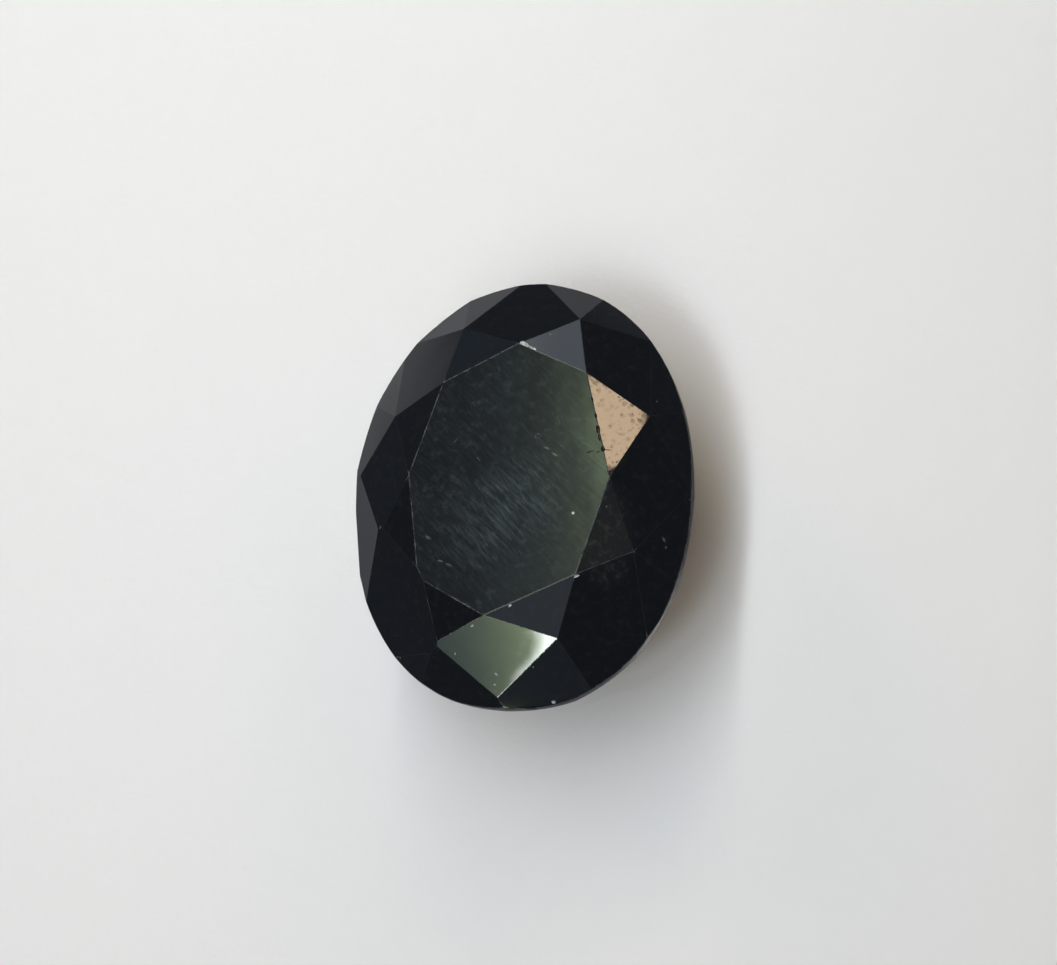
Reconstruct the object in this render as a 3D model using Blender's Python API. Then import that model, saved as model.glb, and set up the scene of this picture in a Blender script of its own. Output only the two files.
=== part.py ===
"""A black tourmaline cut as an oval brilliant: one solid stone, ground flat underneath so that it stands level.

The stone starts as an oval prism, and each facet is one flat cut across it. A cut is given as a gem cutter
thinks of it, by the three points where it meets its neighbours. X is the stone's short axis, Y its long axis
and Z the table's normal. The facets of one kind are numbered clockwise from the +Y end, seen from above.
"""

import math

import bmesh
import bpy
from mathutils import Vector

MM = 0.001

# Driving dimensions, in millimetres
WIDTH = 11.0
LENGTH = 14.0
CROWN_HEIGHT = 1.74
GIRDLE_HEIGHT = 0.48
PAVILION_DEPTH = 3.85
OUTLINE_POWER = 2.1
OUTLINE_SIDES = 144

# The table: its corners on the two axes, and the four between them
TABLE_END = 4.42
TABLE_SIDE = 3.23
TABLE_CORNER = (2.35, 3.19)

# The tips of the stars, as distances across and along and the drop below the table
STAR_TIP_NEAR_END = (1.93, 5.10, 0.46)
STAR_TIP_NEAR_SIDE = (4.07, 2.06, 0.64)

# The underside: the flat that the stone stands on, a little off centre, and the lower girdle facets' reach
CULET_WIDTH = 3.0
CULET_LENGTH = 4.0
CULET_OFFSET = (0.10, -0.15)
LOWER_FACET_START = 0.30

# The places round the outline where the eight bezels come down, in degrees anticlockwise from +X
BEZEL_FEET = (91, 45, 0, -39, -90.6, -130, -183, -222)
# and where the upper girdle facets meet under each star
GIRDLE_MEETS = (67, 21, -22, -61, -117, -144, -203, -247)
FACETS = len(BEZEL_FEET)

# What the hand cutting left uneven. A foot's half-width is where a bezel runs out to the girdle with an edge.
TABLE_SLIPS = {
    0: (0.05, -0.10),
    1: (-0.05, 0.15),
    2: (0.05, -0.05),
    3: (0.10, 0.10),
    4: (-0.30, 0.0),
    5: (-0.15, -0.10),
    6: (0.10, 0.0),
    7: (0.05, -0.15),
}
STAR_TIP_SLIPS = {
    0: (-0.10, 0.20, -0.05),
    1: (0.18, 0.10, -0.094),
    2: (0.0, -0.15, 0.10),
    3: (0.0, 0.15, -0.05),
    4: (0.0, -0.15, 0.05),
    5: (0.0, 0.25, 0.10),
    6: (0.0, 0.10, -0.15),
    7: (-0.05, -0.05, -0.10),
}
FOOT_HALF_WIDTH = {0: 3.5, 7: 3.0}
FOOT_REACH = {4: 0.96, 6: 0.96}
DEEPER_BEZELS = {5: 0.07}
# The one upper girdle facet that was never cut, as its star and its bezel
UNCUT_UPPER_FACET = (5, 5)
# Swells and flats of the outline: direction in degrees, amount in millimetres and spread in degrees
OUTLINE_SLIPS = ((-45, 0.13, 32), (42, -0.08, 28), (-90, -0.08, 14), (-165, 0.08, 25))

GIRDLE_TOP = PAVILION_DEPTH + GIRDLE_HEIGHT
TABLE_HEIGHT = GIRDLE_TOP + CROWN_HEIGHT
ON_PLANE = 1e-4
SMOOTH_BELOW = math.radians(5)

STONE_COLOUR = (0.010, 0.012, 0.011, 1.0)
STONE_ROUGHNESS = 0.12
STONE_IOR = 1.63


def outline_point(turn, height, reach=1.0):
    """A point on the stone's outline. Turn is in degrees, and reach 1 is on the outline itself."""
    cosine, sine = math.cos(math.radians(turn)), math.sin(math.radians(turn))
    across = WIDTH / 2 * math.copysign(abs(cosine) ** (2 / OUTLINE_POWER), cosine)
    along = LENGTH / 2 * math.copysign(abs(sine) ** (2 / OUTLINE_POWER), sine)
    radius = math.hypot(across, along)
    direction = math.degrees(math.atan2(along, across))
    slip = 0.0
    for middle, amount, spread in OUTLINE_SLIPS:
        apart = (direction - middle + 180) % 360 - 180
        slip += amount * math.exp(-((apart / spread) ** 2))
    share = reach * (radius + slip) / radius
    return Vector((across * share, along * share, height))


def table_corners():
    """The table's eight corners, clockwise from the +Y end."""
    end, side, corner = (0, TABLE_END), (TABLE_SIDE, 0), TABLE_CORNER
    signs = ((1, 1), (1, 1), (1, 1), (1, -1), (1, -1), (-1, -1), (-1, 1), (-1, 1))
    kinds = (end, corner, side, corner, end, corner, side, corner)
    corners = []
    for number, ((x_sign, y_sign), (across, along)) in enumerate(zip(signs, kinds)):
        slip_x, slip_y = TABLE_SLIPS[number]
        corners.append(Vector((x_sign * across + slip_x, y_sign * along + slip_y, TABLE_HEIGHT)))
    return corners


def star_tips():
    """The outer tips of the eight stars. Star k lies between table corners k and k + 1."""
    signs = ((1, 1), (1, 1), (1, -1), (1, -1), (-1, -1), (-1, -1), (-1, 1), (-1, 1))
    tips = []
    for number, (x_sign, y_sign) in enumerate(signs):
        near_end = number % 4 in (0, 3)
        across, along, drop = STAR_TIP_NEAR_END if near_end else STAR_TIP_NEAR_SIDE
        slip = Vector(STAR_TIP_SLIPS[number])
        tips.append(Vector((x_sign * across, y_sign * along, TABLE_HEIGHT - drop)) + slip)
    return tips


def cut_through(first, second, third, deeper=0.0):
    """The flat cut through three points, as a point on it and its outward normal."""
    middle = Vector((0, 0, GIRDLE_TOP))
    normal = (second - first).cross(third - first).normalized()
    if normal.dot(first - middle) < 0:
        normal.negate()
    return first - normal * deeper, normal


def drop_onto(cut, point):
    """The point straight above or below the given one that lies on the cut."""
    on_cut, normal = cut
    level = normal.x * (point.x - on_cut.x) + normal.y * (point.y - on_cut.y)
    return Vector((point.x, point.y, on_cut.z - level / normal.z))


def crown_cuts():
    """The cuts above the girdle: the stars, the bezels, and two upper girdle facets under each star."""
    corners, tips = table_corners(), star_tips()
    cuts = []
    feet = []
    for k in range(FACETS):
        cuts.append(cut_through(corners[k], corners[(k + 1) % FACETS], tips[k]))
        bezel = cut_through(corners[k], tips[k - 1], tips[k], DEEPER_BEZELS.get(k, 0.0))
        cuts.append(bezel)
        half_width = FOOT_HALF_WIDTH.get(k, 0.0)
        reach = FOOT_REACH.get(k, 1.0)
        ends = [outline_point(BEZEL_FEET[k] + side * half_width, GIRDLE_TOP, reach) for side in (1, -1)]
        feet.append([drop_onto(bezel, end) for end in ends])
    for k in range(FACETS):
        meet = outline_point(GIRDLE_MEETS[k], GIRDLE_TOP)
        for bezel, end in ((k, 1), ((k + 1) % FACETS, 0)):
            if (k, bezel) != UNCUT_UPPER_FACET:
                cuts.append(cut_through(tips[k], feet[bezel][end], meet))
    return cuts


def culet_corner(number):
    """A corner of the eight-sided flat underneath, between two of the pavilion's main facets."""
    turn = math.radians(90 - (number + 0.5) * 360 / FACETS)
    across = CULET_WIDTH / 2 * math.cos(turn) + CULET_OFFSET[0]
    along = CULET_LENGTH / 2 * math.sin(turn) + CULET_OFFSET[1]
    return Vector((across, along, 0))


def pavilion_cuts():
    """The cuts below the girdle: eight mains, and sixteen lower girdle facets that meet in pairs."""
    step = 360 / FACETS
    mains = []
    for k in range(FACETS):
        foot = outline_point(90 - k * step, PAVILION_DEPTH)
        mains.append(cut_through(culet_corner(k - 1), culet_corner(k), foot))
    cuts = list(mains)
    for k in range(FACETS):
        next_main = mains[(k + 1) % FACETS]
        rib = mains[k][1].cross(next_main[1])
        start = culet_corner(k)
        rib_point = start + rib * (LOWER_FACET_START * PAVILION_DEPTH / rib.z)
        meet = outline_point(90 - (k + 0.5) * step, PAVILION_DEPTH)
        for number in (k, k + 1):
            foot = outline_point(90 - number * step, PAVILION_DEPTH)
            cuts.append(cut_through(rib_point, foot, meet))
    return cuts


def oval_prism(mesh):
    """The rough: an upright oval prism from the culet's level to the table's."""
    ring = [mesh.verts.new(outline_point(side * 360 / OUTLINE_SIDES, 0)) for side in range(OUTLINE_SIDES)]
    base = mesh.faces.new(ring)
    lifted = bmesh.ops.extrude_face_region(mesh, geom=[base])
    top = [item for item in lifted["geom"] if isinstance(item, bmesh.types.BMVert)]
    bmesh.ops.translate(mesh, verts=top, vec=(0, 0, TABLE_HEIGHT))
    bmesh.ops.recalc_face_normals(mesh, faces=mesh.faces)


def grind(mesh, cut):
    """Takes off what lies outside the cut, and closes the stone with the new flat facet."""
    on_cut, normal = cut
    geometry = list(mesh.verts) + list(mesh.edges) + list(mesh.faces)
    bmesh.ops.bisect_plane(
        mesh, geom=geometry, dist=ON_PLANE, plane_co=on_cut, plane_no=normal, clear_outer=True
    )
    rim = [edge for edge in mesh.edges if edge.is_boundary]
    if rim:
        bmesh.ops.holes_fill(mesh, edges=rim)


def tourmaline():
    """The stone's material: polished, opaque and nearly black."""
    material = bpy.data.materials.new("black_tourmaline")
    material.use_nodes = True
    shader = material.node_tree.nodes["Principled BSDF"]
    shader.inputs["Base Color"].default_value = STONE_COLOUR
    shader.inputs["Roughness"].default_value = STONE_ROUGHNESS
    shader.inputs["Metallic"].default_value = 0.0
    shader.inputs["IOR"].default_value = STONE_IOR
    return material


def centre_on_base(mesh):
    """Moves the stone so that the origin is in the middle of its width and length, at its base."""
    across = [vertex.co.x for vertex in mesh.verts]
    along = [vertex.co.y for vertex in mesh.verts]
    middle = Vector(((min(across) + max(across)) / 2, (min(along) + max(along)) / 2, 0))
    bmesh.ops.translate(mesh, verts=mesh.verts, vec=-middle)


def cut_stone():
    """Cuts the whole stone and returns it as one object."""
    mesh = bmesh.new()
    oval_prism(mesh)
    for cut in crown_cuts() + pavilion_cuts():
        grind(mesh, cut)
    bmesh.ops.recalc_face_normals(mesh, faces=mesh.faces)
    centre_on_base(mesh)
    bmesh.ops.scale(mesh, verts=mesh.verts, vec=(MM, MM, MM))
    data = bpy.data.meshes.new("stone")
    mesh.to_mesh(data)
    mesh.free()
    data.shade_smooth()
    data.set_sharp_from_angle(angle=SMOOTH_BELOW)
    data.materials.append(tourmaline())
    stone = bpy.data.objects.new("stone", data)
    bpy.context.scene.collection.objects.link(stone)
    return stone


for startup_object in list(bpy.data.objects):
    bpy.data.objects.remove(startup_object)
cut_stone()
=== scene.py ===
"""The looks of a loose, hand-cut oval black tourmaline that lies table up on a pale floor.

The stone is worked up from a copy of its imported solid: its edges are worn round, the girdle and the flat
underneath get their own ground finishes, and small chips are broken out of it. Every finish reads the stone's
own coordinates in millimetres, so a mark stays where it is on the stone from any side.
"""

import math

import bpy
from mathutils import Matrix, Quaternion, Vector


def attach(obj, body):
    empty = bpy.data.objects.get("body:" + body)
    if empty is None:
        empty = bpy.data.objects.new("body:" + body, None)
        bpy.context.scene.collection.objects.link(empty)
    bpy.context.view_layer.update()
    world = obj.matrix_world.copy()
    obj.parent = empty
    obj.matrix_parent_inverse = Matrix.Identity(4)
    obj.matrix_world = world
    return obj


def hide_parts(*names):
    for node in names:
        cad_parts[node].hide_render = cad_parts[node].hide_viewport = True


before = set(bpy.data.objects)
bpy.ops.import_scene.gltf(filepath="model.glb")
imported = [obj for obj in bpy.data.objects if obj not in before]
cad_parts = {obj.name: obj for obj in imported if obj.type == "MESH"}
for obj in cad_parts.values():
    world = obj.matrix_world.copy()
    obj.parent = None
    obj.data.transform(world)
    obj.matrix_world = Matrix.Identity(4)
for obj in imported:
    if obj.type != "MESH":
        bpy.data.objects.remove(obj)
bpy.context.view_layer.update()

# Lengths and places are in millimetres, unless a comment says otherwise
MM = 0.001

# The camera, as it stood over the stone: the point it aims at and the way back from it, turned about its own axis
AIM = (0.285, 0.258, 4.33)
CAMERA_BACK = (0.2614, -0.2753, 0.9251)
CAMERA_ROLL = -40.83
CAMERA_DISTANCE = 63.13
CAMERA_LENS = 68.12
SENSOR_WIDTH = 36.0
CLIP_START = 1.0
CLIP_END = 5000.0

# The height where the crown starts, above the flat that the stone stands on
GIRDLE_TOP = 4.33
# The upward part of a facet's normal: at least this on the level faces, and at most this on the girdle
LEVEL = 0.999
UPRIGHT = 0.05

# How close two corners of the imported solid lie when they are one, and the angle within which triangles are one facet
SAME_CORNER = 0.0005
SAME_FACET = math.radians(0.4)
# How near two corners may lie before they are made one: on the whole stone, and after the chips
NEAR_CORNERS = 0.075
TOUCHING = 0.002

# How far each kind of edge is worn back
TABLE_EDGE_WEAR = 0.020
CROWN_EDGE_WEAR = 0.013
GIRDLE_EDGE_WEAR = 0.030
UNDERSIDE_EDGE_WEAR = 0.020
FACET_EDGE_ANGLE = math.radians(6)
SMOOTH_BELOW = math.radians(4)

TOURMALINE_IOR = 1.63
FLOOR_IOR = 1.45

# The colours of the finishes
BLACK = (0.0018, 0.0022, 0.0022, 1.0)
GRIME = (0.075, 0.074, 0.070, 1.0)
DUST = (0.35, 0.36, 0.36, 1.0)
# The colour of the light marks on the facets: painted glints, and scuffs
GLINT_AND_SCUFF_COLOUR = (0.45, 0.47, 0.44, 1.0)
FILM = (0.072, 0.093, 0.101, 1.0)
TABLE_MARK = (0.45, 0.46, 0.46, 1.0)
GIRDLE_DARK = (0.035, 0.037, 0.038, 1.0)
GIRDLE_GREY = (0.16, 0.16, 0.155, 1.0)
GIRDLE_PALEST = (0.55, 0.56, 0.55, 1.0)
EDGE_DARK = (0.006, 0.0065, 0.0065, 1.0)
EDGE_RUBBED = (0.070, 0.070, 0.074, 1.0)
NICK_DARK = (0.006, 0.005, 0.004, 1.0)
NICK_DIRT = (0.040, 0.028, 0.017, 1.0)
# The chips' colours: painted shade in the fracture's low steps, and dusted pale on its raised ones
CHIP_PAINTED_SHADE = (0.25, 0.26, 0.26, 1.0)
CHIP_PALE = (0.72, 0.74, 0.73, 1.0)
GROUND_DARK = (0.02, 0.021, 0.022, 1.0)
GROUND_GREY = (0.09, 0.09, 0.088, 1.0)
FLOOR_DARKER = (0.80, 0.80, 0.80, 1.0)
FLOOR_LIGHTER = (0.84, 0.84, 0.84, 1.0)

# The height of an oval patch, so tall that it takes in the whole stone
ANY_HEIGHT = 1e4
# Where a scratch and a speck start to fade, as shares of their half widths, and how softly the specks are picked
SCRATCH_CORE = 0.1
SPECK_CORE = 0.6
SPECK_PICK = 0.02


class Wire:
    """One output of a shader's nodes. Arithmetic on it adds Math nodes to the same bench."""

    def __init__(self, bench, socket):
        self.bench = bench
        self.socket = socket

    def other(self, output):
        """Another output of the same node, by its name."""
        return Wire(self.bench, self.socket.node.outputs[output])

    def _with(self, operation, first, second):
        return self.bench.node("ShaderNodeMath", {"operation": operation}, {0: first, 1: second})

    def __add__(self, other):
        return self._with("ADD", self, other)

    __radd__ = __add__

    def __sub__(self, other):
        return self._with("SUBTRACT", self, other)

    def __rsub__(self, other):
        return self._with("SUBTRACT", other, self)

    def __mul__(self, other):
        return self._with("MULTIPLY", self, other)

    __rmul__ = __mul__

    def __truediv__(self, other):
        return self._with("DIVIDE", self, other)

    def __rtruediv__(self, other):
        return self._with("DIVIDE", other, self)

    def __abs__(self):
        return self._with("ABSOLUTE", self, 0.0)

    def highest(self, other):
        return self._with("MAXIMUM", self, other)

    def lowest(self, other):
        return self._with("MINIMUM", self, other)


class Bench:
    """The node tree of one finish, or of the room, and the one method that every node in it comes from."""

    def __init__(self, tree):
        self.tree = tree

    def node(self, kind, settings=None, inputs=None, output=0):
        """Adds a node: its settings first, then a value or a wire for each input. Returns one of its outputs."""
        made = self.tree.nodes.new(kind)
        for name, value in (settings or {}).items():
            setattr(made, name, value)
        for name, value in (inputs or {}).items():
            if isinstance(value, Wire):
                self.tree.links.new(value.socket, made.inputs[name])
            else:
                made.inputs[name].default_value = value
        return Wire(self, made.outputs[output])

    def ease(self, value, start, end, low=0.0, high=1.0):
        """Runs smoothly from low to high while the value goes from start to end."""
        inputs = {"Value": value, "From Min": start, "From Max": end, "To Min": low, "To Max": high}
        return self.node("ShaderNodeMapRange", {"interpolation_type": "SMOOTHSTEP"}, inputs)

    def fading(self, value):
        """Falls away from 1 as the value grows, to about a third over each step of 1."""
        return self.node("ShaderNodeMath", {"operation": "EXPONENT"}, {0: value * -1.0})

    def blend(self, share, first, second):
        """Mixes two colours."""
        return self.node("ShaderNodeMix", {"data_type": "RGBA"}, {0: share, 6: first, 7: second}, 2)

    def add_colours(self, first, second):
        settings = {"data_type": "RGBA", "blend_type": "ADD", "clamp_result": False}
        return self.node("ShaderNodeMix", settings, {0: 1.0, 6: first, 7: second}, 2)

    def millimetres(self):
        """The piece's own coordinates, in millimetres."""
        place = self.node("ShaderNodeTexCoord", output=3)
        return self.node("ShaderNodeVectorMath", {"operation": "SCALE"}, {0: place, "Scale": 1 / MM})

    def stretched(self, place, along, across, turn=0.0):
        """The coordinates turned and scaled, so that a pattern is drawn out in the direction of the turn."""
        settings = {"vector_type": "TEXTURE"}
        inputs = {"Vector": place, "Rotation": (0, 0, math.radians(turn)), "Scale": (along, across, 1.0)}
        return self.node("ShaderNodeMapping", settings, inputs)

    def noise(self, place, scale, detail=3.0, roughness=0.5):
        inputs = {"Vector": place, "Scale": scale, "Detail": detail, "Roughness": roughness}
        return self.node("ShaderNodeTexNoise", inputs=inputs)

    def patch(self, place, centre, half_sizes, turn=0.0, edge=0.0):
        """A soft oval seen from above: 1 inside and 0 outside. Edge is where it starts to fade, as a share."""
        settings = {"vector_type": "TEXTURE"}
        inputs = {
            "Vector": place,
            "Location": (centre[0], centre[1], 0.0),
            "Rotation": (0, 0, math.radians(turn)),
            "Scale": (half_sizes[0], half_sizes[1], ANY_HEIGHT),
        }
        inside = self.node("ShaderNodeMapping", settings, inputs)
        distance = self.node("ShaderNodeVectorMath", {"operation": "LENGTH"}, {0: inside}, 1)
        return self.ease(distance, edge, 1.0, 1.0, 0.0)

    def scratch(self, place, start, end, width):
        """A straight scratch between two points, seen from above."""
        (x0, y0), (x1, y1) = start, end
        half_sizes = (math.hypot(x1 - x0, y1 - y0) / 2, width / 2)
        turn = math.degrees(math.atan2(y1 - y0, x1 - x0))
        return self.patch(place, ((x0 + x1) / 2, (y0 + y1) / 2), half_sizes, turn, SCRATCH_CORE)

    def specks(self, place, scale, size, share):
        """Round specks of one size, scattered so that only a share of the cells has one."""
        settings = {"voronoi_dimensions": "2D"}
        cells = self.node("ShaderNodeTexVoronoi", settings, {"Vector": place, "Scale": scale})
        chance = self.node("ShaderNodeSeparateColor", inputs={0: cells.other("Color")})
        near = self.ease(cells, size * scale * SPECK_CORE, size * scale, 1.0, 0.0)
        return near * self.ease(chance, 1.0 - share, 1.0 - share + SPECK_PICK)


class Finish(Bench):
    """A material with one Principled shader."""

    def __init__(self, name, ior=TOURMALINE_IOR):
        self.material = bpy.data.materials.new(name)
        self.material.use_nodes = True
        super().__init__(self.material.node_tree)
        self.shader = self.tree.nodes["Principled BSDF"]
        self.shader.inputs["IOR"].default_value = ior

    def give(self, colour, roughness, height=None, depth=0.0):
        """Wires the shader. Height drives a bump that is depth millimetres deep."""
        for name, value in (("Base Color", colour), ("Roughness", roughness)):
            if isinstance(value, Wire):
                self.tree.links.new(value.socket, self.shader.inputs[name])
            else:
                self.shader.inputs[name].default_value = value
        if height is not None:
            bump = self.node("ShaderNodeBump", inputs={"Height": height, "Distance": depth * MM})
            self.tree.links.new(bump.socket, self.shader.inputs["Normal"])
        return self.material


# Where the facets are pocked or dusty, seen from above: middle, half sizes, turn and where that starts to fade
POCKED_STAR = ((3.25, 1.80), (1.7, 2.6), 0.0, 0.6)
DUSTY_STAR = ((3.25, -1.80), (1.0, 1.9), 0.0, 0.6)
# The scratch on the pocked star: start, end and width
STAR_SCRATCH = ((3.02, 0.80), (3.32, 0.83), 0.05)
# Small light marks on the facets, partly painted glints and partly scuffs: middle, half sizes, turn and strength, and
# where they start to fade
GLINTS_AND_SCUFFS = (
    ((-0.02, -6.04), (0.040, 0.075), 60.0, 0.55),
    ((4.86, -1.68), (0.050, 0.100), 20.0, 0.16),
    ((4.92, -1.90), (0.040, 0.070), -20.0, 0.12),
    ((-4.07, -1.60), (0.040, 0.080), 0.0, 0.16),
)
GLINT_AND_SCUFF_CORE = 0.3


def polished_facets():
    """The crown's and pavilion's facets: a glassy black polish, with faint ripples, a few pits, a little dust, some
    scuffs and a few painted glints.
    """
    finish = Finish("polished_facets")
    place = finish.millimetres()
    ripple = finish.noise(place, scale=0.45, detail=1.0)
    pits = finish.specks(place, scale=1.7, size=0.030, share=0.12)
    dust = finish.specks(place, scale=0.9, size=0.030, share=0.14)
    grime = finish.ease(finish.noise(place, scale=4.0, detail=5.0, roughness=0.7), 0.48, 0.74)
    dusty = finish.patch(place, *DUSTY_STAR)
    blotches = finish.ease(finish.noise(place, scale=8.0, detail=2.0), 0.50, 0.70)
    pocks = 0.42 * finish.specks(place, scale=3.6, size=0.095, share=0.7) + 0.45 * blotches
    pocks = pocks * finish.patch(place, *POCKED_STAR) + 2.0 * finish.scratch(place, *STAR_SCRATCH)
    colour = finish.blend((0.07 + 0.20 * dusty) * grime + 0.04 * dusty, BLACK, GRIME)
    colour = finish.blend(dust * 0.25, colour, DUST)
    # The light marks: painted glints, and a few scuffs, laid over the facets' colour
    marks = 0.0
    for middle, half_sizes, turn, strength in GLINTS_AND_SCUFFS:
        marks = marks + strength * finish.patch(place, middle, half_sizes, turn, GLINT_AND_SCUFF_CORE)
    colour = finish.blend(marks, colour, GLINT_AND_SCUFF_COLOUR)
    roughness = 0.022 + 0.02 * grime + 0.095 * pocks + 0.15 * pits + 0.3 * dust
    return finish.give(colour, roughness, ripple - pits * 0.3, depth=0.004)


# The way the table was last rubbed, and an earlier way that crosses it, in degrees anticlockwise from +X
RUB_TURN = -40.0
CROSSING_TURN = -54.0
# Where the table is rubbed most, and a thicker veil low on it: middle, half sizes and turn
RUBBED_PART = ((0.08, -1.15), (3.2, 2.0), 42.0)
LOWER_VEIL = ((0.75, -3.35), (1.9, 1.1), 20.0)
# One light speck on the table: middle, half sizes, turn and where it starts to fade
TABLE_SPECK = ((2.26, -1.21), (0.055, 0.055), 0.0, 0.5)
# Light scratches on the table: start, end and width, and how strong they all are
SCRATCHES = (
    ((-1.76, 0.97), (-1.59, 1.23), 0.09),
    ((-0.98, 0.58), (-0.80, 0.39), 0.08),
    ((-2.41, -1.98), (-2.14, -2.13), 0.12),
    ((-1.94, -2.76), (-1.68, -2.82), 0.10),
    ((-1.68, -2.85), (-1.35, -2.97), 0.10),
    ((1.14, 0.91), (1.40, 0.79), 0.08),
    ((1.38, 0.72), (1.71, 0.56), 0.09),
    ((0.82, 1.28), (0.98, 1.12), 0.12),
    ((0.88, 1.34), (1.06, 1.26), 0.07),
)
SCRATCH_STRENGTH = 0.20


def hazed_table():
    """The table: its polish is dulled by a thin dusty film, and by fine streaks where it was rubbed last."""
    finish = Finish("hazed_table")
    place = finish.millimetres()
    drift = finish.noise(place, scale=0.5, detail=2.0)
    clouds = finish.ease(drift, 0.36, 0.66)
    dusty = finish.ease(finish.noise(place, scale=3.6, detail=4.0, roughness=0.62), 0.50, 0.74)
    rubbing = finish.stretched(place, along=1.0, across=0.12, turn=RUB_TURN)
    streaks = finish.noise(rubbing, scale=1.4)
    streaks = finish.ease(streaks, 0.38, 0.74)
    earlier_rubbing = finish.stretched(place, along=1.0, across=0.19, turn=CROSSING_TURN)
    crossing = finish.noise(earlier_rubbing, scale=2.5, detail=2.0)
    crossing = finish.ease(crossing, 0.46, 0.76)
    rubbed = finish.patch(place, *RUBBED_PART)
    marks = finish.patch(place, *TABLE_SPECK)
    uneven = finish.ease(finish.noise(place, scale=9.0, roughness=0.6), 0.30, 0.62)
    for start, end, width in SCRATCHES:
        marks = marks.highest(finish.scratch(place, start, end, width) * uneven * SCRATCH_STRENGTH)
    film = 0.02 + 0.03 * clouds + (0.10 + 0.12 * clouds) * dusty + 0.05 * finish.patch(place, *LOWER_VEIL)
    film = film + 0.05 * rubbed + (0.05 + 0.33 * rubbed) * streaks + (0.06 + 0.20 * rubbed) * crossing
    colour = finish.blend(film, BLACK, FILM)
    colour = finish.blend(marks, colour, TABLE_MARK)
    roughness = 0.045 + 0.05 * film + 0.3 * marks
    height = drift + 0.02 * streaks - 0.15 * marks
    return finish.give(colour, roughness, height, depth=0.005)


# Where the girdle is frosted palest, seen from above: middle and half sizes
PALE_GIRDLE = ((4.3, -4.1), (2.6, 2.6))
# The wheel's marks on the girdle run level, so they are fine in height
WHEEL_MARKS = (0.4, 0.4, 22.0)


def frosted_girdle():
    """The girdle: ground but never polished, so it is grey and frosted, with fine level marks of the wheel."""
    finish = Finish("frosted_girdle")
    place = finish.millimetres()
    frost = finish.noise(place, scale=14.0, detail=4.0, roughness=0.7)
    patches = finish.ease(finish.noise(place, scale=1.6), 0.35, 0.70)
    wheel = finish.node("ShaderNodeMapping", inputs={"Vector": place, "Scale": WHEEL_MARKS})
    lines = finish.noise(wheel, scale=1.0, detail=2.0)
    shade = finish.ease(frost, 0.35, 0.70) * 0.5 + 0.5 * patches
    colour = finish.blend(shade, GIRDLE_DARK, GIRDLE_GREY)
    colour = finish.blend(0.9 * finish.patch(place, *PALE_GIRDLE), colour, GIRDLE_PALEST)
    return finish.give(colour, 0.45 + 0.2 * frost, frost + 0.5 * lines, depth=0.02)


# The heights over which an edge turns from dark to rubbed light: up to the table's, and down to the girdle's
TABLE_RUB_HEIGHTS = (5.99, 6.04)
GIRDLE_RUB_HEIGHTS = (4.42, 4.34)
# How rubbed the edges between those are
CROWN_RUB = 0.06
# Edges below the table that are rubbed as light as its own, seen from above: middle, half sizes, turn and
# where that starts to fade
RUBBED_EDGES = (
    ((3.30, -2.65), (1.10, 0.16), 29.0, 0.8),
    ((-2.20, -4.27), (1.20, 0.16), -73.8, 0.8),
    ((-1.10, -4.85), (1.10, 0.16), 27.0, 0.8),
)


def worn_edges():
    """The edges between facets: rubbed light round the table and at the girdle, and still dark between."""
    finish = Finish("worn_edges")
    place = finish.millimetres()
    height = finish.node("ShaderNodeSeparateXYZ", inputs={0: place}, output=2)
    rubbed = finish.ease(height, *TABLE_RUB_HEIGHTS, CROWN_RUB, 1.0)
    rubbed = rubbed.highest(finish.ease(height, *GIRDLE_RUB_HEIGHTS))
    for rubbed_edge in RUBBED_EDGES:
        rubbed = rubbed.highest(finish.patch(place, *rubbed_edge))
    patches = finish.ease(finish.noise(place, scale=1.8, detail=5.0, roughness=0.75), 0.42, 0.62)
    wear = rubbed * (0.15 + 0.85 * patches)
    colour = finish.blend(wear, EDGE_DARK, EDGE_RUBBED)
    return finish.give(colour, 0.14 + 0.33 * wear, finish.noise(place, scale=8.0), depth=0.006)


def dull_nick():
    """Old nicks along the table's edge, with brown dirt in them."""
    finish = Finish("dull_nick")
    dirt = finish.ease(finish.noise(finish.millimetres(), scale=9.0), 0.35, 0.65)
    return finish.give(finish.blend(dirt, NICK_DARK, NICK_DIRT), 0.5)


def fresh_chip():
    """Broken surfaces: rough, dusted light, with the steps of a shell-like fracture, and painted shade in its low
    steps.
    """
    finish = Finish("fresh_chip")
    steps = finish.noise(finish.millimetres(), scale=6.0, detail=4.0, roughness=0.7)
    # Painted shade: the colour darkens where the fracture's steps lie low, and is dusted pale where they stand high
    colour = finish.blend(finish.ease(steps, 0.35, 0.65), CHIP_PAINTED_SHADE, CHIP_PALE)
    return finish.give(colour, 0.45, steps, depth=0.03)


def ground_flat():
    """The flat underneath: ground level and left matt, with the straight marks of the lap."""
    finish = Finish("ground_flat")
    lap_marks = finish.stretched(finish.millimetres(), along=2.0, across=0.05, turn=15.0)
    lines = finish.noise(lap_marks, scale=2.0, roughness=0.6)
    colour = finish.blend(lines, GROUND_DARK, GROUND_GREY)
    return finish.give(colour, 0.40 + 0.25 * lines, lines, depth=0.01)


def pale_floor():
    """The floor underneath: matt, nearly white, with faint clouds and grain."""
    finish = Finish("pale_floor", FLOOR_IOR)
    place = finish.millimetres()
    clouds = finish.noise(place, scale=0.09, detail=4.0, roughness=0.6)
    grain = finish.noise(place, scale=1.2, detail=5.0, roughness=0.7)
    colour = finish.blend(0.6 * clouds + 0.4 * grain, FLOOR_DARKER, FLOOR_LIGHTER)
    return finish.give(colour, 0.85, grain, depth=0.03)


def select_only(piece):
    """Deselects everything, then selects one piece and makes it the active one."""
    bpy.ops.object.select_all(action="DESELECT")
    piece.select_set(True)
    bpy.context.view_layer.objects.active = piece


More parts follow.
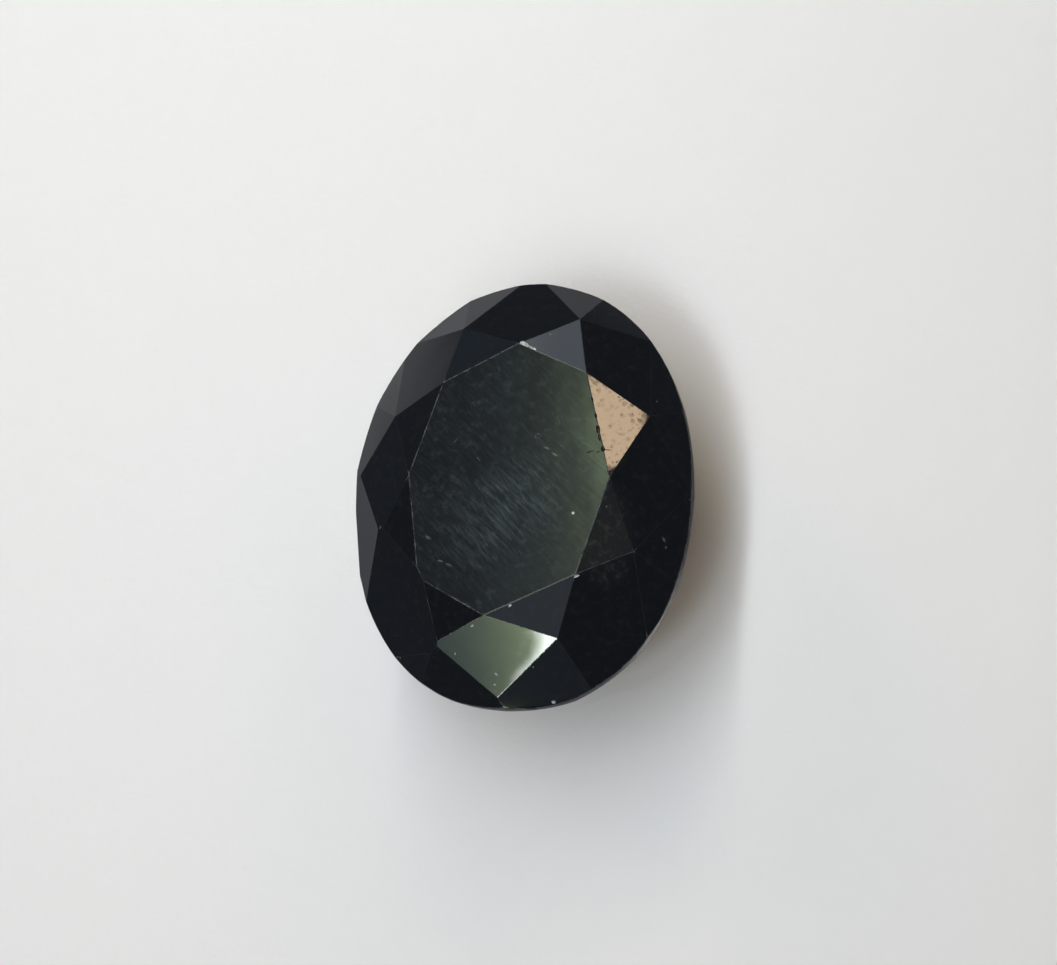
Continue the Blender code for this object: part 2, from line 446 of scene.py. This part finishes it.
def edit(piece, *steps):
    """Runs operators on one piece in edit mode, each given as the operator and its settings."""
    select_only(piece)
    bpy.ops.object.mode_set(mode="EDIT")
    bpy.ops.mesh.select_all(action="SELECT")
    for operator, settings in steps:
        operator(**settings)
    bpy.ops.object.mode_set(mode="OBJECT")


def apply_modifier(piece, kind, **settings):
    """Adds a modifier with its settings and applies it."""
    select_only(piece)
    modifier = piece.modifiers.new(kind.lower(), kind)
    for name, value in settings.items():
        setattr(modifier, name, value)
    bpy.ops.object.modifier_apply(modifier=modifier.name)


def resize(piece, factor):
    """Makes a piece that many times its size, about the origin."""
    settings = {"value": (factor, factor, factor), "center_override": (0, 0, 0)}
    edit(piece, (bpy.ops.transform.resize, settings))


def merged_copy(name):
    """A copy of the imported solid, with its loose triangles merged back into whole facets, in millimetres."""
    stone = bpy.data.objects.new(name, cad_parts["stone"].data.copy())
    bpy.context.scene.collection.objects.link(stone)
    resize(stone, 1 / MM)
    edit(
        stone,
        (bpy.ops.mesh.remove_doubles, {"threshold": SAME_CORNER}),
        (bpy.ops.mesh.dissolve_limited, {"angle_limit": SAME_FACET}),
        (bpy.ops.mesh.remove_doubles, {"threshold": NEAR_CORNERS}),
    )
    return stone


def edge_wear(mesh, edge, faces):
    """How far one edge is worn back, from its place and the two faces that it joins."""
    if len(faces) != 2 or faces[0].normal.angle(faces[1].normal) < FACET_EDGE_ANGLE:
        return 0.0
    middle = (mesh.vertices[edge.vertices[0]].co + mesh.vertices[edge.vertices[1]].co) / 2
    upward = [abs(face.normal.z) for face in faces]
    if max(upward) > LEVEL and middle.z > GIRDLE_TOP:
        return TABLE_EDGE_WEAR
    if min(upward) < UPRIGHT:
        return GIRDLE_EDGE_WEAR
    return CROWN_EDGE_WEAR if middle.z > GIRDLE_TOP else UNDERSIDE_EDGE_WEAR


def wear_edges(stone, slots):
    """Rounds every edge by its own wear, and gives the rounded strips their own finish."""
    mesh = stone.data
    sides = {edge.key: [] for edge in mesh.edges}
    for face in mesh.polygons:
        for key in face.edge_keys:
            sides[key].append(face)
    weights = mesh.attributes.new("bevel_weight_edge", "FLOAT", "EDGE")
    for edge in mesh.edges:
        weights.data[edge.index].value = edge_wear(mesh, edge, sides[edge.key]) / GIRDLE_EDGE_WEAR
    apply_modifier(
        stone,
        "BEVEL",
        width=GIRDLE_EDGE_WEAR,
        segments=2,
        limit_method="WEIGHT",
        offset_type="OFFSET",
        miter_outer="MITER_SHARP",
        use_clamp_overlap=False,
        material=slots.index("worn_edges"),
    )


# Chips broken out of the stone: middle, half sizes, turn about Z in degrees and finish
CHIPS = (
    ((0.26, 4.28, 6.06), (0.20, 0.070, 0.06), -30.0, "fresh_chip"),
    ((0.52, 4.14, 6.06), (0.16, 0.035, 0.04), -27.0, "fresh_chip"),
    ((2.60, -3.14, 6.05), (0.20, 0.050, 0.05), 22.0, "fresh_chip"),
    ((-4.98, -3.25, 4.25), (0.16, 0.20, 0.14), 30.0, "fresh_chip"),
    ((-3.85, -1.75, 5.45), (0.08, 0.10, 0.06), 0.0, "fresh_chip"),
    ((2.58, 2.42, 6.06), (0.030, 0.11, 0.05), 16.0, "dull_nick"),
    ((2.73, 1.90, 6.06), (0.040, 0.10, 0.05), 16.0, "dull_nick"),
    ((2.83, 1.46, 6.05), (0.065, 0.17, 0.08), 14.0, "dull_nick"),
    ((2.90, 1.18, 6.06), (0.040, 0.12, 0.05), 18.0, "dull_nick"),
    ((3.03, 0.84, 6.05), (0.065, 0.11, 0.07), 8.0, "dull_nick"),
    ((2.65, 0.74, 6.075), (0.150, 0.020, 0.030), 19.0, "dull_nick"),
    ((2.90, 0.74, 6.070), (0.080, 0.018, 0.030), 15.0, "dull_nick"),
    ((-0.20, -6.72, 4.36), (0.08, 0.05, 0.05), 0.0, "fresh_chip"),
    ((1.65, -6.70, 4.26), (0.07, 0.06, 0.06), 0.0, "fresh_chip"),
    ((0.52, -4.13, 6.05), (0.06, 0.035, 0.04), 30.0, "fresh_chip"),
    ((-0.66, -4.76, 5.93), (0.06, 0.035, 0.04), 25.0, "fresh_chip"),
)
# How uneven a chip's scoop is, as a share of its smallest half size
CHIP_UNEVENNESS = 0.35


def break_out(stone, number, middle, half_sizes, turn, finish):
    """Breaks one chip out of the stone with an uneven scoop. Its number picks the unevenness."""
    bpy.ops.object.select_all(action="DESELECT")
    bpy.ops.mesh.primitive_ico_sphere_add(subdivisions=2, radius=1.0, location=middle)
    scoop = bpy.context.object
    scoop.scale = half_sizes
    scoop.rotation_euler.z = math.radians(turn)
    bpy.ops.object.transform_apply(location=True, rotation=True, scale=True)
    unevenness = CHIP_UNEVENNESS * min(half_sizes)
    edit(scoop, (bpy.ops.transform.vertex_random, {"offset": unevenness, "seed": number}))
    scoop.data.materials.append(finish)
    apply_modifier(
        stone, "BOOLEAN", operation="DIFFERENCE", solver="EXACT", object=scoop, material_mode="TRANSFER"
    )
    mesh = scoop.data
    bpy.data.objects.remove(scoop)
    bpy.data.meshes.remove(mesh)


def face_finish(face):
    """The finish that a face of the stone was left with, from the way it faces."""
    if face.normal.z > LEVEL:
        return "hazed_table"
    if face.normal.z < -LEVEL:
        return "ground_flat"
    return "frosted_girdle" if abs(face.normal.z) < UPRIGHT else "polished_facets"


def cut_stone():
    """The whole stone: worn edges, its finishes, and the chips."""
    stone = merged_copy("cut_stone")
    finishes = [polished_facets(), hazed_table(), frosted_girdle(), worn_edges(), fresh_chip()]
    finishes += [dull_nick(), ground_flat()]
    slots = [material.name for material in finishes]
    mesh = stone.data
    mesh.materials.clear()
    for material in finishes:
        mesh.materials.append(material)
    for face in mesh.polygons:
        face.use_smooth = False
        face.material_index = slots.index(face_finish(face))
    wear_edges(stone, slots)
    for number, (middle, half_sizes, turn, finish) in enumerate(CHIPS):
        break_out(stone, number, middle, half_sizes, turn, finishes[slots.index(finish)])
    edit(stone, (bpy.ops.mesh.remove_doubles, {"threshold": TOUCHING}))
    resize(stone, MM)
    select_only(stone)
    bpy.ops.object.shade_smooth_by_angle(angle=SMOOTH_BELOW)
    return stone


stone = cut_stone()
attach(stone, "root")
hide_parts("stone")

# How far the round floor reaches, and the sides of its rim
FLOOR_REACH = 260.0
FLOOR_SIDES = 96


def lay_floor():
    """The floor, level with the flat that the stone stands on. It isn't part of the stone."""
    bpy.ops.object.select_all(action="DESELECT")
    bpy.ops.mesh.primitive_circle_add(vertices=FLOOR_SIDES, radius=FLOOR_REACH * MM, fill_type="NGON")
    floor = bpy.context.object
    floor.name = "floor"
    floor.data.materials.append(pale_floor())
    floor.visible_glossy = False


lay_floor()

# A share of every lamp's watts below, so that the room's own weak light comes on top of it
LAMP_SHARE = 0.982
# A strip hangs over the floor along the stone: where its two halves start and end, and their watts in red, green
# and blue
STRIP_ACROSS = -15.9
STRIP_HEIGHT = 81.6
STRIP_WIDTH = 7.3
STRIPS = (
    ("near_strip", -31.3, 69.1, (0.0376, 0.0402, 0.0427)),
    ("far_strip", 69.1, 148.3, (0.0454, 0.0443, 0.0416)),
)
# The other lamps are round and point at the stone: azimuth, elevation, width and watts
ROUND_LAMP_DISTANCE = 400.0
ROUND_LAMPS = (
    ("wide_lamp", 258.8, 52.6, 203.0, (0.192, 0.188, 0.104)),
    ("cool_lamp", 253.6, 60.3, 81.0, (0.185, 0.217, 0.261)),
    ("warm_lamp", 64.8, 25.7, 160.0, (0.143, 0.111, 0.074)),
    ("warm_side_lamp", 139.1, 23.5, 160.0, (0.222, 0.156, 0.094)),
    ("front_lamp", 270.0, 50.0, 90.0, (0.083, 0.078, 0.115)),
    ("high_lamp", 240.0, 66.0, 90.0, (0.090, 0.094, 0.113)),
    ("back_lamp", 90.0, 30.0, 90.0, (0.082, 0.063, 0.030)),
)


def toward(azimuth, elevation):
    """The direction with this azimuth, anticlockwise from +X, and elevation, both in degrees."""
    a, e = math.radians(azimuth), math.radians(elevation)
    return Vector((math.cos(a) * math.cos(e), math.sin(a) * math.cos(e), math.sin(e)))


def hang_lamp(name, shape, place, size, watts):
    """Hangs an area lamp at its place. A strip faces down, and a round lamp faces the stone."""
    lamp = bpy.data.lights.new(name, "AREA")
    lamp.shape = shape
    lamp.size, lamp.size_y = size[0] * MM, size[1] * MM
    lamp.energy = max(watts) * LAMP_SHARE
    lamp.color = [share / max(watts) for share in watts]
    holder = bpy.data.objects.new(name, lamp)
    bpy.context.scene.collection.objects.link(holder)
    holder.location = Vector(place) * MM
    if shape == "DISK":
        holder.rotation_mode = "QUATERNION"
        holder.rotation_quaternion = (-Vector(place)).to_track_quat("-Z", "Y")
    holder.visible_glossy = False
    holder.visible_camera = False


for name, start, end, watts in STRIPS:
    place = (STRIP_ACROSS, (start + end) / 2, STRIP_HEIGHT)
    hang_lamp(name, "RECTANGLE", place, (STRIP_WIDTH, end - start), watts)
for name, azimuth, elevation, width, watts in ROUND_LAMPS:
    hang_lamp(name, "DISK", toward(azimuth, elevation) * ROUND_LAMP_DISTANCE, (width, width), watts)

# What the stone mirrors. Places on the ceiling are across and along, as shares of its height over the stone.
# The upward part of a direction where the ceiling starts and where it is full, and the least of it that a place on
# the ceiling is worked out with
OVERHEAD = (0.10, 0.30)
LOWEST_RISE = 0.05
# The strip: its middle across, and its soft edge near its end, at two places along, as where it starts and where
# it is full, both across. Then its other edge, and where along it comes into view and is full.
STRIP_SEEN = -0.19
STRIP_EDGE = ((-1.320, -0.2385, -0.2265), (-1.405, -0.2690, -0.2450))
STRIP_OTHER_EDGE = (-0.142, -0.152)
STRIP_END = (-1.05, -1.15)
# The olive light beside the strip, at two places along: how strong it is and how fast it falls away
OLIVE_LIGHT = ((-1.2, 8.9, 0.049), (-0.2, 32.0, 0.018))
OLIVE_BRIGHTEST = 4.0
# and where it is weaker: the middle along, how far that reaches and where it ends, and the share that is left
OLIVE_LULL = (0.235, 0.05, 0.09, 0.55)
# The ceiling fades between these places, on both sides across, and to both ends along
CEILING_LEFT = (-0.45, 0.0)
CEILING_RIGHT = (0.40, 0.15)
CEILING_ALONG = (1.35, 1.80)
# The floor starts below the first elevation and is full below the second. It dims further down and towards +X:
# where it is dimmest, where that starts, and the share of its light that is left.
FLOOR_EDGE = (-10.5, -13.5)
FLOOR_DIM_BELOW = (-34, -20)
FLOOR_DIM_ASIDE = (0.30, -0.35)
FLOOR_LEFT_OVER = 0.3
# Soft glows elsewhere: azimuth, elevation, the angles from the middle where they start and end to fade, colour
GLOWS = (
    (94, 38, 5, 13, (0.62, 0.67, 0.82)),
    (45.72, 43.58, 1.35, 1.42, (8.55, 6.25, 4.1)),
    (-89, 24, 4, 13, (0.06, 0.08, 0.11)),
    (124, 27, 4, 12, (0.08, 0.11, 0.15)),
    (7, 61, 4, 12, (0.10, 0.10, 0.08)),
    (-104, 36, 1, 3.4, (0.0, 0.06, 0.24)),
    (144, -12.5, 2, 6, (0.36, 0.35, 0.35)),
)
ROOM_DIM = (0.080, 0.095, 0.125, 1.0)
CEILING = (0.32, 0.36, 0.43, 1.0)
OLIVE = (0.79, 1.0, 0.57)
STRIP_LIGHT = (16.0, 17.0, 17.0, 1.0)
FLOOR_SEEN = (0.38, 0.38, 0.38, 1.0)
# What fills the shadows: a weak grey light, and a warm one from the shadow's side, given as a soft glow
ROOM_FILL = (0.045, 0.045, 0.045, 1.0)
WARM_SIDE = (5, 20, 10, 40, (0.22, 0.11, 0.0))
BACKDROP = (0.80, 0.80, 0.80, 1.0)
NO_LIGHT = (0.0, 0.0, 0.0, 1.0)


def rise(elevations):
    """The upward parts of directions at these elevations, in degrees."""
    return [math.sin(math.radians(elevation)) for elevation in elevations]


class Room(Bench):
    """The room round the stone, as light from every direction."""

    def __init__(self, tree):
        super().__init__(tree)
        self.outward = self.node("ShaderNodeTexCoord")
        parts = [self.node("ShaderNodeSeparateXYZ", inputs={0: self.outward}, output=axis) for axis in range(3)]
        self.x, y, self.z = parts
        height = self.z.highest(LOWEST_RISE)
        self.across, self.along = self.x / height, y / height
        self.overhead = self.ease(self.z, *OVERHEAD)

    def glow(self, share, colour):
        """A light of one colour that has its full strength where the share is 1."""
        return self.blend(share, NO_LIGHT, colour)

    def round_glow(self, azimuth, elevation, inner, outer, colour):
        """A soft round light."""
        inputs = {0: self.outward, 1: toward(azimuth, elevation)}
        closeness = self.node("ShaderNodeVectorMath", {"operation": "DOT_PRODUCT"}, inputs, 1)
        start, end = math.cos(math.radians(outer)), math.cos(math.radians(inner))
        return self.glow(self.ease(closeness, start, end), (*colour, 1))

    def ceiling(self):
        """The ceiling's bluish light."""
        share = self.ease(self.across, *CEILING_LEFT) * self.ease(self.across, *CEILING_RIGHT)
        share = share * self.ease(abs(self.along), *CEILING_ALONG, 1.0, 0.0)
        return self.glow(self.overhead * share, CEILING)

    def olive_light(self):
        """The olive light, which falls away on both sides of the strip."""
        (end, end_strength, end_fall), (middle, middle_strength, middle_fall) = OLIVE_LIGHT
        fall = self.ease(self.along, end, middle, end_fall, middle_fall)
        strength = self.ease(self.along, end, middle, end_strength, middle_strength)
        aside = abs(self.across - STRIP_SEEN)
        olive = (strength * self.fading(aside / fall)).lowest(OLIVE_BRIGHTEST) * self.overhead
        lull, lull_start, lull_end, left_over = OLIVE_LULL
        olive = olive * self.ease(abs(self.along - lull), lull_start, lull_end, left_over, 1.0)
        return self.node("ShaderNodeVectorMath", {"operation": "SCALE"}, {0: OLIVE, "Scale": olive})

    def strip(self):
        """The end of the bright strip."""
        (nearer, nearer_start, nearer_full), (further, further_start, further_full) = STRIP_EDGE
        start = self.ease(self.along, further, nearer, further_start, nearer_start)
        full = self.ease(self.along, further, nearer, further_full, nearer_full)
        share = self.ease((self.across - start) / (full - start), 0.0, 1.0)
        share = share * self.ease(self.across, *STRIP_OTHER_EDGE)
        share = share * self.overhead * self.ease(self.along, *STRIP_END)
        return self.glow(share, STRIP_LIGHT)

    def floor(self):
        """The lit floor, as the steepest facets and the girdle mirror it."""
        share = self.ease(self.z, *rise(FLOOR_EDGE))
        share = share * self.ease(self.z, *rise(FLOOR_DIM_BELOW), FLOOR_LEFT_OVER, 1.0)
        share = share * self.ease(self.x, *FLOOR_DIM_ASIDE, FLOOR_LEFT_OVER, 1.0)
        return self.glow(share, FLOOR_SEEN)

    def mirrored(self):
        """All that the stone mirrors."""
        light = self.add_colours(self.ceiling(), ROOM_DIM)
        for source in (self.olive_light(), self.strip(), self.floor()):
            light = self.add_colours(light, source)
        for glow in GLOWS:
            light = self.add_colours(light, self.round_glow(*glow))
        return light


def light_room():
    """The room: what the stone mirrors, the weak light that fills the shadows, and the pale backdrop."""
    world = bpy.data.worlds.new("room")
    world.use_nodes = True
    world.cycles.sampling_method = "NONE"
    bpy.context.scene.world = world
    room = Room(world.node_tree)
    fill = room.add_colours(room.round_glow(*WARM_SIDE), ROOM_FILL)
    rays = room.node("ShaderNodeLightPath")
    colour = room.blend(rays.other("Is Glossy Ray"), fill, room.mirrored())
    colour = room.blend(rays.other("Is Camera Ray"), colour, BACKDROP)
    background = room.tree.nodes["Background"]
    room.tree.links.new(colour.socket, background.inputs["Color"])


light_room()


def stand_camera():
    """Stands the camera over the stone and makes it the scene's own."""
    camera = bpy.data.cameras.new("camera")
    camera.lens = CAMERA_LENS
    camera.sensor_width = SENSOR_WIDTH
    camera.clip_start = CLIP_START * MM
    camera.clip_end = CLIP_END * MM
    holder = bpy.data.objects.new("camera", camera)
    bpy.context.scene.collection.objects.link(holder)
    back = Vector(CAMERA_BACK).normalized()
    holder.location = (Vector(AIM) + back * CAMERA_DISTANCE) * MM
    holder.rotation_mode = "QUATERNION"
    roll = Quaternion((0, 0, 1), math.radians(CAMERA_ROLL))
    holder.rotation_quaternion = (-back).to_track_quat("-Z", "Y") @ roll
    bpy.context.scene.camera = holder


stand_camera()
bpy.context.scene.view_settings.view_transform = "Standard"
